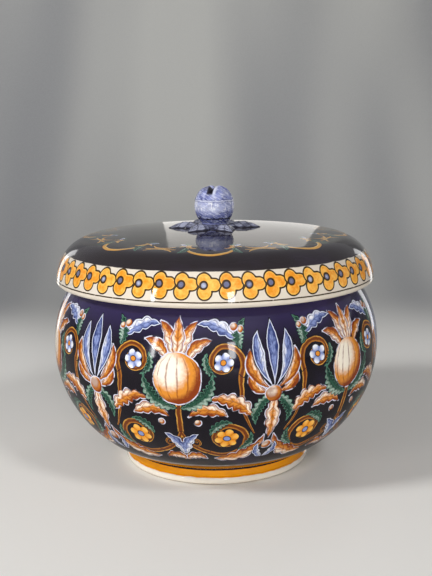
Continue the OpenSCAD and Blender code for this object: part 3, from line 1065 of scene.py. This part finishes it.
def foot_outline(s):
    """The foot ring's section: a bead at the base, a shallow groove, and a side that draws in."""
    out = FOOT_HIGH[0]
    top = FOOT_HIGH[2]
    inner = out - s.foot_width
    bead = (out - s.foot_bead, s.foot_bead)
    side = arc(bead, s.foot_bead, -90, 58, 14)
    last = side[-1]
    groove = [(last[0] - 0.12 * MM, last[1] + 0.18 * MM), (last[0] - 0.05 * MM, last[1] + 0.45 * MM)]
    flank = [(out - s.foot_draw + 0.1 * MM, top - 1.2 * MM), (out - s.foot_draw, top)]
    inner_round = 0.9 * MM
    under = soften([(inner, top), (inner, 0)], [(inner, 0), side[0]], inner_round)
    return under[:-1] + side + groove + flank + [(inner, top)]


def lid_outline(s):
    """The lid's section: ledge, lip, band, shoulder and dome, and back along the hollow."""
    out = LID_HIGH[0]
    low = LID_LOW[2]
    crown = LID_HIGH[2]
    turns = (s.lip_turn, s.band_turn, s.shoulder_turn)
    lip_turn, band_turn, shoulder_turn = (math.degrees(angle) for angle in turns)
    lip = (out - s.lip_round, low + s.lip_round)

    def step(centre, change, angle):
        return (centre[0] + change * math.cos(angle), centre[1] + change * math.sin(angle))

    band = step(lip, s.lip_round - s.band_arc, s.lip_turn)
    shoulder = step(band, s.band_arc - s.shoulder, s.band_turn)
    start = step(shoulder, s.shoulder, s.shoulder_turn)
    dome_r = start[0] / math.cos(s.shoulder_turn)
    dome = (0.0, start[1] - dome_r * math.sin(s.shoulder_turn))
    outside = arc(lip, s.lip_round, -90, lip_turn, 12)
    outside += arc(band, s.band_arc, lip_turn, band_turn, 10)[1:]
    outside += arc(shoulder, s.shoulder, band_turn, shoulder_turn, 26)[1:]
    outside += arc(dome, dome_r, shoulder_turn, 90, 16)[1:]
    ledge_top = low + s.wall
    hollow_angle = math.degrees(math.asin((ledge_top - band[1]) / (s.band_arc - s.wall)))
    inside = arc(dome, dome_r - s.wall, 90, shoulder_turn, 12)
    inside += arc(shoulder, s.shoulder - s.wall, shoulder_turn, band_turn, 16)[1:]
    inside += arc(band, s.band_arc - s.wall, band_turn, hollow_angle, 4)[1:]
    ledge_r = FLANGE_HIGH[0] - s.flange_width
    ledge = [inside[-1], (ledge_r, ledge_top)]
    if abs(outside[-1][1] - crown) > 0.05 * MM:
        raise RuntimeError("the lid's dome does not end at the crown of its node")
    hollow_round = 1.5 * MM
    hollow = soften(inside, ledge, hollow_round)
    return [(ledge_r, low)] + outside + hollow + [(ledge_r, low)]


FRUIT_TALL = FRUIT_HIGH[2] - FRUIT_LOW[2] + 0.2 * MM
FRUIT_SQUARENESS = 0.78
RIDGE_WIDTH = 0.02


def fruit_outline(s):
    """The fruit's section: a squarish ball on its neck, with one thin ridge round it."""
    reach = FRUIT_HIGH[0]
    low = FRUIT_LOW[2]
    seat = -math.acos((s.seat_r / reach) ** (1 / FRUIT_SQUARENESS))
    belly = -reach * math.sin(seat)
    outline = [(0.0, low)]
    rows = 44
    for i in range(rows):
        angle = seat + (math.pi / 2 - seat) * i / rows
        up = belly + (reach if angle < 0 else FRUIT_TALL - belly) * math.sin(angle)
        ridge = math.exp(-((up / FRUIT_TALL - RIDGE_LEVEL) / RIDGE_WIDTH) ** 2)
        out = reach * math.cos(angle) ** FRUIT_SQUARENESS - 0.1 * MM + 0.2 * MM * ridge
        outline.append((min(reach, out), low + up))
    return outline + [(0.0, low + FRUIT_TALL)]


# Materials and bake maps of the lathed pieces

# Heights above which faces belong to the rim and the dome, and mm from the belly that part the frieze
RIM_FACES = BOWL_HIGH[2] - 0.2 * MM
DOME_FACES = LID_LOW[2] + 16.4 * MM
FRIEZE_LEVELS = (-60.0, -20.0, 5.0, 40.0)


def paint_by_place(piece, materials, choose):
    """Gives each face the material whose number choose returns for its centre and normal."""
    for material in materials:
        piece.data.materials.append(material)
    for face in piece.data.polygons:
        face.material_index = choose(face.center, face.normal)


def inward(centre, normal):
    """True on a face that looks towards the jar's axis."""
    return normal[0] * centre[0] + normal[1] * centre[1] < 0


def front_angle(place):
    """Degrees round the jar from its front, towards its right side."""
    return math.degrees(math.atan2(place[0], -place[1]))


def near_turn(angle, other):
    """The angle in degrees, brought within half a turn of the other."""
    return other + (angle - other + 180) % 360 - 180


def lay_map(piece, spot):
    """Lays the faces on the map for bakes; spot places a corner by its face, its point and its angle."""
    layer = piece.data.uv_layers[0]
    layer.name = "OFBake"
    for face in piece.data.polygons:
        facing = front_angle(face.center)
        for corner in face.loop_indices:
            place = piece.data.vertices[piece.data.loops[corner].vertex_index].co
            layer.data[corner].uv = spot(face, place, near_turn(front_angle(place), facing))


def on_disc(centre, reach, share, angle):
    """A spot on a round chart, at a share of its reach from the middle."""
    turned = math.radians(angle)
    return (centre[0] + reach * share * math.sin(turned), centre[1] - reach * share * math.cos(turned))


def bowl_spots(s):
    """Charts of the bowl: front wall, rear wall, rim, inner wall, and the discs of floor and underside."""
    low_run = -s.lower_arc * math.asin((s.belly_z - BOWL_LOW[2] - s.base_edge) / s.lower_arc)
    high_run = s.upper_arc * math.asin((BOWL_HIGH[2] - s.belly_z) / s.upper_arc)
    front_low, rear_low, wall_tall, half_wide = 0.609, 0.213, 0.386, 181
    rim_low, inner_low, inner_tall, ring_wide = 0.188, 0.1, 0.08, 370
    underside, floor, disc = (0.06, 0.048), (0.16, 0.048), 0.045
    disc_edge = 0.7 * s.belly_r

    def run(place):
        out = math.hypot(place[0], place[1])
        up = place[2] - s.belly_z
        radius = s.lower_arc if up < 0 else s.upper_arc
        along = radius * math.atan2(up, out - s.belly_r + radius)
        return (along - low_run) / (high_run - low_run)

    def spot(face, place, angle):
        out = math.hypot(place[0], place[1])
        if face.material_index > 0:
            facing = front_angle(face.center)
            rear = abs(facing) > 90
            local = near_turn(angle - 180 * rear, near_turn(facing - 180 * rear, 0))
            low = rear_low if rear else front_low
            return (0.5 + local / half_wide, low + wall_tall * min(1.01, run(place)))
        if face.center[2] > RIM_FACES:
            return (0.5 + angle / ring_wide, rim_low + (s.belly_r - out) * 0.9)
        if face.normal[2] < -0.9:
            return on_disc(underside, disc, out / disc_edge, angle)
        if face.normal[2] > 0.8 and face.center[2] < s.belly_z:
            return on_disc(floor, disc, out / disc_edge, angle)
        return (0.5 + angle / ring_wide, inner_low + inner_tall * run(place))

    return spot


def lid_spots():
    """Charts of the lid: a disc of the dome, three rows of the band, discs of hollow and ledge."""
    low = LID_LOW[2]
    crown = LID_HIGH[2]
    tall = crown - low
    edge = LID_HIGH[0]
    row_turn, row_pitch, row_tall, band_tall = 120, 0.123, 0.118, 17 * MM
    dome_slope = 0.8
    dome_edge = edge + dome_slope * (tall - 16 * MM)

    def spot(face, place, angle):
        out = math.hypot(place[0], place[1])
        drop = crown - place[2]
        if face.material_index == 2:
            return on_disc((0.31, 0.69), 0.308, (out + dome_slope * drop) / dome_edge, angle)
        if face.material_index == 1:
            row = int((front_angle(face.center) + 180) // row_turn)
            local = (angle + 180 - row_turn * row) / row_turn
            up = row_pitch * row + row_tall * (place[2] - low) / band_tall
            return (0.015 + 0.97 * local, 0.006 + up)
        if face.normal[2] > 0.7:
            return on_disc((0.905, 0.5), 0.09, out / edge, angle)
        if face.center[2] < low + 2 * MM:
            return on_disc((0.715, 0.5), 0.09, (out + low - place[2]) / edge, angle)
        return on_disc((0.81, 0.81), 0.18, (out + drop) / (edge + tall), angle)

    return spot


# Operators

class JAR_OT_bowl(bpy.types.Operator):
    """Lathes the bowl and paints its frieze"""

    bl_idname = "jar.bowl"
    bl_label = "Bowl"
    bl_options = {"REGISTER", "UNDO"}

    def execute(self, context):
        settings = context.scene.candy_jar
        piece = lathe("bowl_thrown", bowl_outline(settings.bowl), settings.bowl.steps)
        underside = BOWL_LOW[2] + 2 * MM
        finishes = [cream_material(settings)]
        for name, zone in zip(("low", "middle", "high"), zip(FRIEZE_LEVELS, FRIEZE_LEVELS[1:])):
            finishes.append(bowl_material(settings, f"painted cobalt bowl {name}", zone))
        cuts = [settings.bowl.belly_z + level * MM for level in FRIEZE_LEVELS[1:-1]]

        def choose(centre, normal):
            if centre[2] < underside and normal[2] < -0.9:
                return 0
            if centre[2] > RIM_FACES or inward(centre, normal) or normal[2] > 0.9:
                return 0
            return 1 + sum(centre[2] > cut for cut in cuts)

        paint_by_place(piece, finishes, choose)
        lay_map(piece, bowl_spots(settings.bowl))
        finish(piece, "jar", "cobalt_glaze", ["bowl"])
        return {"FINISHED"}


class JAR_OT_foot(bpy.types.Operator):
    """Lathes the foot ring"""

    bl_idname = "jar.foot"
    bl_label = "Foot ring"
    bl_options = {"REGISTER", "UNDO"}

    def execute(self, context):
        settings = context.scene.candy_jar
        piece = lathe("foot_ring_turned", foot_outline(settings.bowl), settings.bowl.steps)
        piece.data.materials.append(foot_material(settings))
        finish(piece, "jar", "ochre_glaze", ["foot_ring"])
        return {"FINISHED"}


class JAR_OT_lid(bpy.types.Operator):
    """Lathes the lid, paints it and glazes the flange under it"""

    bl_idname = "jar.lid"
    bl_label = "Lid and flange"
    bl_options = {"REGISTER", "UNDO"}

    def execute(self, context):
        settings = context.scene.candy_jar
        piece = lathe("lid_thrown", lid_outline(settings.lid), settings.lid.steps)
        cream = bpy.data.materials["cream tin glaze"]
        ledge = LID_LOW[2] + 0.1 * MM
        lip = LID_HIGH[0] - 1.7 * MM

        def choose(centre, normal):
            under = normal[2] < -0.2 and math.hypot(centre[0], centre[1]) < lip
            if under or inward(centre, normal) or centre[2] < ledge:
                return 0
            return 2 if centre[2] > DOME_FACES else 1

        paint_by_place(piece, (cream, band_material(settings), dome_material(settings)), choose)
        lay_map(piece, lid_spots())
        finish(piece, "lid", "cobalt_glaze", ["lid_shell"])
        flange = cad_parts["locating_flange"]
        flange.material_slots[0].material = cream
        return {"FINISHED"}


# Depths of the clefts at the four quarters, and the pushes that make one: start level, width in mm, depth
CLEFT_SHARES = (1.0, 0.45, 0.35, 0.45)
CLEFT_PUSHES = ((0.78, 2.6, 0.3), (0.85, 2.4, 0.4), (0.9, 2.2, 0.4))


def press_cleft(piece, bearing, depth):
    """Presses one cleft into the fruit's crown, along a bearing."""
    for level, width, share in CLEFT_PUSHES:
        above = FRUIT_LOW[2] + level * FRUIT_TALL

        def in_cleft(spot):
            ahead, aside = turned(spot.x, spot.y, bearing)
            return ahead > 0.4 * MM and abs(aside) < 0.06 * MM and spot.z > above

        select_verts(piece, in_cleft)
        bpy.ops.transform.translate(
            value=(0, 0, -share * depth), use_proportional_edit=True, proportional_edit_falloff="SHARP",
            proportional_size=width * MM
        )


class JAR_OT_fruit(bpy.types.Operator):
    """Models the fruit of the finial and glazes its neck"""

    bl_idname = "jar.fruit"
    bl_label = "Finial fruit"
    bl_options = {"REGISTER", "UNDO"}

    def execute(self, context):
        settings = context.scene.candy_jar
        s = settings.finial
        piece = lathe("fruit_modelled", fruit_outline(s), steps=80)
        piece.rotation_euler[2] = s.cleft_turn
        bpy.ops.object.transform_apply(rotation=True)
        bpy.ops.object.mode_set(mode="EDIT")
        for quarter, share in enumerate(CLEFT_SHARES):
            press_cleft(piece, s.cleft_turn + quarter * math.pi / 2, share * s.cleft)
        bpy.ops.object.mode_set(mode="OBJECT")
        piece.data.materials.append(fruit_material(settings))
        finish(piece, "lid", "fruit_glaze", ["finial_fruit"], smooth=60)
        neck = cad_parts["finial_stem"]
        neck.material_slots[0].material = neck_material(settings)
        return {"FINISHED"}


def leaf_rise(s, share, band):
    """How far a leaf's point is lifted, from its share of the length and of the half width."""
    arch = math.sin(math.pi * (0.18 + 0.82 * share))
    fold = 1 - band ** 1.3 + 0.07 * math.cos(math.tau * (share * 4 - band * 0.9))
    droop = 0.45 * MM * share ** 3
    return s.leaf_crown * arch * min(1.0, fold) * 0.84 - droop


def leaf_widen(share):
    """A leaf's width at a share of its length."""
    belly = 0.4 + 0.6 * math.sin(math.pi * min(1.0, share / 0.84))
    return belly * (1 - share ** 2.6) + 0.03


class JAR_OT_leaves(bpy.types.Operator):
    """Models one leaf of the finial and copies it round the fruit"""

    bl_idname = "jar.leaves"
    bl_label = "Finial leaves"
    bl_options = {"REGISTER", "UNDO"}

    def execute(self, context):
        settings = context.scene.candy_jar
        base = LEAF_LOW[0]
        run = LEAF_HIGH[0] - base
        half = LEAF_HIGH[1]
        bpy.ops.object.select_all(action="DESELECT")
        bpy.ops.mesh.primitive_grid_add(
            x_subdivisions=22, y_subdivisions=12, size=2,
            location=(base + run / 2, 0, LEAF_LOW[2] + 0.6 * MM)
        )
        first = context.object
        first.scale = (run / 2, half, 1)
        bpy.ops.object.transform_apply(location=True, rotation=True, scale=True)
        first.data.uv_layers[0].name = "Leaf"
        bpy.ops.object.mode_set(mode="EDIT")
        mesh = bmesh.from_edit_mesh(first.data)
        columns = sorted({round((vert.co.x - base) / run, 4) for vert in mesh.verts})
        bands = sorted({round(abs(vert.co.y) / half, 4) for vert in mesh.verts})

        def pick(share, band=None):
            """Selects a column of the leaf's grid, or only its points at one share of the half width."""
            def test(spot):
                beside = band is None or abs(abs(spot.y) / half - band) < 0.001
                return beside and abs((spot.x - base) / run - share) < 0.001

            select_verts(first, test)

        for share in columns:
            for band in bands:
                pick(share, band)
                bpy.ops.transform.translate(value=(0, 0, leaf_rise(settings.finial, share, band)))
            pick(share)
            bpy.ops.transform.resize(value=(1, leaf_widen(share), 1), center_override=(0, 0, 0))
        bpy.ops.mesh.select_all(action="DESELECT")
        bpy.ops.mesh.select_non_manifold()
        bpy.ops.mesh.extrude_region_move(TRANSFORM_OT_translate={"value": (0, 0, -1.6 * MM)})
        bpy.ops.mesh.edge_face_add()
        bpy.ops.mesh.select_all(action="SELECT")
        bpy.ops.mesh.normals_make_consistent(inside=False)
        bpy.ops.object.mode_set(mode="OBJECT")
        first.data.materials.append(leaf_material(settings))
        leaves = [first]
        while len(leaves) < len(LEAF_BEARINGS):
            select_only(first)
            bpy.ops.object.duplicate(linked=False)
            leaves.append(context.object)
        for number, (leaf, bearing) in enumerate(zip(leaves, LEAF_BEARINGS), 1):
            select_only(leaf)
            leaf.name = f"leaf_modelled_{number}"
            leaf.data.name = leaf.name
            leaf.rotation_euler[2] = math.radians(bearing)
            bpy.ops.object.transform_apply(rotation=True)
            finish(leaf, "lid", "leaf_glaze", [f"leaf_{number}"], smooth=50)
        return {"FINISHED"}


# Stage

PAPER_HALF = (2.0, 1.75)
LAMP_AIM = Vector((0, 0, 0.06))
PANEL_TINT = (1.0, 0.96, 0.9)
ROOM_FILL = 0.15

# Soft lamps light the jar unseen, windows show in the glaze too, and mirrored ones show only there
LAMPS = (
    ("soft", "lamp_left", (-0.72, -0.4, 0.66), (0.18, 0.18), "left_lamp"),
    ("soft", "lamp_right", (0.5, -0.62, 0.85), (0.18, 0.18), "right_lamp"),
    ("soft", "lamp_low", (0.08, -0.87, 0.18), (0.3, 0.1), "low_lamp"),
    ("soft", "lamp_rear", (0.25, 0.45, 0.5), (0.18, 0.18), "rear_lamp"),
    ("window", "window_left", (-0.85, -0.95, 0.38), (0.055, 0.44), "window_lamp"),
    ("window", "window_right", (0.23, -1.25, 0.38), (0.1, 0.36), "window_lamp"),
    ("mirrored", "mirrored_panel", (0.027, 0.45, 0.155), (0.164, 0.27), "back_lamp"),
    ("mirrored", "mirrored_strip_left", (-0.28, 0.35, 0.12), (0.06, 0.24), "side_strip"),
    ("mirrored", "mirrored_strip_right", (0.3, 0.33, 0.12), (0.06, 0.24), "side_strip"),
)


def paper_material(s):
    """Matt paper: a pale floor with painted shade where the glaze mirrors it, and a backdrop painted greyer
    than the floor, in soft bands of painted light and shade.
    """
    material, g, place = start_material("paper")
    x, y, z = g.split(place)
    tooth = g.noise(place, 700.0, 3.0, 0.6)
    # Soft vertical bands of painted light and shade on the backdrop
    bands = g.noise(g.stack(x + s.band_shift, 0.0, z * 0.15), 7.0, 1.0)
    # Painted shade: the backdrop is greyer than the floor
    rise = g.ease(y, 0.2, 0.42)
    grey = g.mix(g.ease(bands, 0.3, 0.7), s.backdrop_dark, s.backdrop_pale)
    paint = g.mix(rise, s.floor, grey)
    paint = g.mix(g.ease(tooth, 0.3, 0.7) * 0.04, paint, linear("ffffff"))
    # Painted shade: the floor is darker only as the glaze mirrors it
    mirrored = g.wire("ShaderNodeLightPath", (), "Is Glossy Ray") * (1.0 - rise)
    paint = g.mix(mirrored * s.floor_dim, paint, linear("000000"))
    surface = g.wire("ShaderNodeBsdfPrincipled", {"Base Color": paint, "Roughness": 0.75})
    g.node("ShaderNodeOutputMaterial", {"Surface": surface})
    return material


def lay_paper(s):
    """Lays the paper floor and bends it up into the backdrop."""
    bpy.ops.object.select_all(action="DESELECT")
    bpy.ops.mesh.primitive_plane_add(size=2, location=(0, 0, 0))
    paper = bpy.context.object
    paper.name = "paper_sweep"
    paper.scale = (*PAPER_HALF, 1.0)
    paper.location = (0.0, s.backdrop - PAPER_HALF[1], 0.0)
    bpy.ops.object.transform_apply(location=True, scale=True)
    bpy.ops.object.mode_set(mode="EDIT")
    select_verts(paper, lambda spot: spot.y > 0)
    bpy.ops.mesh.extrude_region_move(TRANSFORM_OT_translate={"value": (0, 0, s.backdrop_top)})
    select_verts(paper, lambda spot: spot.y > 0 and spot.z < 0.01)
    bpy.ops.mesh.bevel(offset=s.sweep, segments=24, affect="EDGES")
    bpy.ops.mesh.select_all(action="SELECT")
    bpy.ops.mesh.normals_make_consistent(inside=False)
    bpy.ops.object.mode_set(mode="OBJECT")
    bpy.ops.object.shade_smooth()
    paper.data.materials.append(paper_material(s))


def hang_lamp(s, kind, name, place, size, power):
    """Hangs one lamp of the table, turned towards the jar."""
    bpy.ops.object.select_all(action="DESELECT")
    bpy.ops.object.light_add(type="AREA", location=place)
    lamp = bpy.context.object
    lamp.name = name
    lamp.data.shape = "RECTANGLE"
    lamp.data.size, lamp.data.size_y = size
    lamp.data.energy = getattr(s, power)
    lamp.rotation_euler = (Vector(place) - LAMP_AIM).to_track_quat("Z", "Y").to_euler()
    lamp.visible_glossy = kind != "soft"
    lamp.visible_camera = kind != "mirrored"
    lamp.visible_diffuse = kind != "mirrored"
    return lamp


def light_room(scene, s):
    """Fills the room with soft light: all of it where it is seen or mirrored, a little of it on the jar."""
    world = scene.world
    if world is None:
        world = bpy.data.worlds.new("room")
        scene.world = world
    world.use_nodes = True
    world.node_tree.nodes.clear()
    g = Graph(world.node_tree)
    _x, y, up = g.split(g.wire("ShaderNodeTexCoord", (), "Generated"))
    ray = g.node("ShaderNodeLightPath")
    kinds = ("Is Camera Ray", "Is Glossy Ray", "Is Transmission Ray")
    camera, glossy, through = (Wire(g, ray.outputs[kind]) for kind in kinds)
    sight = g.clamp(camera + glossy + through)
    room = g.mix(g.ease(up, 0.0, 0.8), s.room_low, s.room_high)
    room = g.mix(g.ease(up * 0.69 - y * 0.72, 0.72, 0.97), room, s.room_glow)
    strength = sight * (1.0 - ROOM_FILL) + ROOM_FILL
    surface = g.wire("ShaderNodeBackground", {"Color": room, "Strength": strength})
    g.node("ShaderNodeOutputWorld", {"Surface": surface})


def place_camera(scene, s):
    """Sets the camera where the photograph was taken from."""
    turn_down = Matrix.Rotation(math.pi / 2 - s.camera_tilt, 4, "X")
    aim = turn_down @ Matrix.Rotation(s.camera_roll, 4, "Z")
    bpy.ops.object.camera_add(location=s.camera_place, rotation=aim.to_euler())
    camera = bpy.context.object
    camera.name = "photo_camera"
    camera.data.sensor_fit = "VERTICAL"
    camera.data.sensor_height = 36
    camera.data.lens = s.focal
    camera.data.clip_start = 0.01
    scene.camera = camera


class JAR_OT_stage(bpy.types.Operator):
    """Sets the paper floor and backdrop, the lamps and the camera"""

    bl_idname = "jar.stage"
    bl_label = "Stage"
    bl_options = {"REGISTER", "UNDO"}

    def execute(self, context):
        scene = context.scene
        s = scene.candy_jar.stage
        lay_paper(s)
        lamps = {row[1]: hang_lamp(s, *row) for row in LAMPS}
        lamps["mirrored_panel"].data.color = PANEL_TINT
        light_room(scene, s)
        place_camera(scene, s)
        scene.view_settings.view_transform = "Standard"
        return {"FINISHED"}


OPERATORS = (JAR_OT_bowl, JAR_OT_foot, JAR_OT_lid, JAR_OT_fruit, JAR_OT_leaves, JAR_OT_stage)


class VIEW3D_PT_candy_jar(bpy.types.Panel):
    """Lists the jar's pieces and its stage"""

    bl_label = "Candy Jar"
    bl_space_type = "VIEW_3D"
    bl_region_type = "UI"
    bl_category = "Candy Jar"

    def draw(self, context):
        for operator in OPERATORS:
            self.layout.operator(operator.bl_idname)


CLASSES = (
    JarBowlSizes, JarLidSizes, JarFinialSizes, JarColours, JarStage, JarSettings,
    *OPERATORS, VIEW3D_PT_candy_jar
)


def register():
    for each in CLASSES:
        bpy.utils.register_class(each)
    bpy.types.Scene.candy_jar = PointerProperty(type=JarSettings)


def unregister():
    del bpy.types.Scene.candy_jar
    for each in reversed(CLASSES):
        bpy.utils.unregister_class(each)


def main():
    """Registers the add-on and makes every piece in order."""
    register()
    bpy.ops.jar.bowl()
    bpy.ops.jar.foot()
    bpy.ops.jar.lid()
    bpy.ops.jar.fruit()
    bpy.ops.jar.leaves()
    bpy.ops.jar.stage()
    bpy.context.view_layer.update()


if __name__ == "__main__":
    main()
